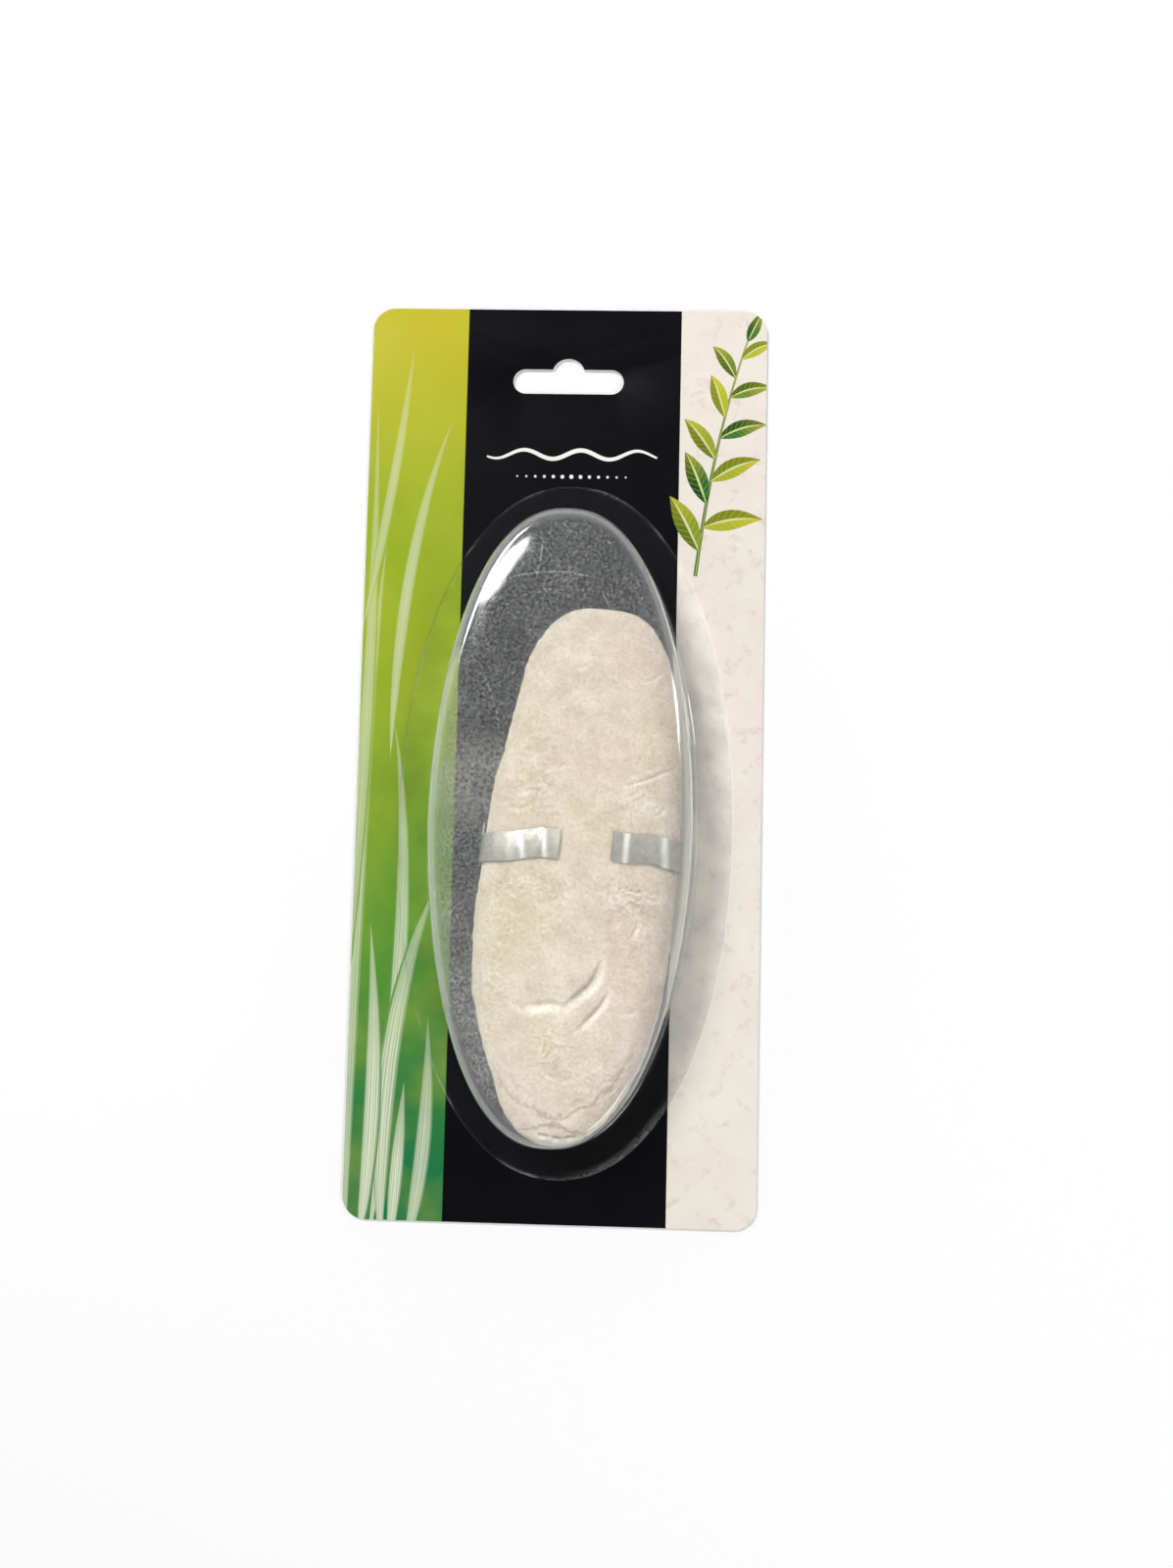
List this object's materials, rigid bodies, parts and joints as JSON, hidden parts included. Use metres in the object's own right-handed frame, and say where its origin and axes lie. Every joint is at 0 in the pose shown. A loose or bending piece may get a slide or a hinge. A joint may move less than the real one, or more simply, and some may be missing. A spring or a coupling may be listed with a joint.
{
  "type": "carded blister pack with cuttlebone",
  "caption": "Flat hang card with a clear oval blister sealed on it, holding a natural cuttlebone with a metal strip clip bent round it.",
  "frame": {"origin": "middle of the card's back face, which is the middle of the bounding box's bottom", "axes": "+Y along the card towards the hang slot, +Z out of the printed face through the blister, +X to the right when looking at the printed face"},
  "size_m": [0.1142, 0.26, 0.0221],
  "materials": {
    "card": "coated printed board, satin",
    "clear_sheet": "clear formed sheet, glossy",
    "bone": "chalky, matt, powdery",
    "clip_metal": "dull grey plated strip"
  },
  "bodies": {
    "root": {"backing_card": "card", "blister": "clear_sheet", "cuttlebone": "bone", "clip": "clip_metal"}
  },
  "joints": []
}
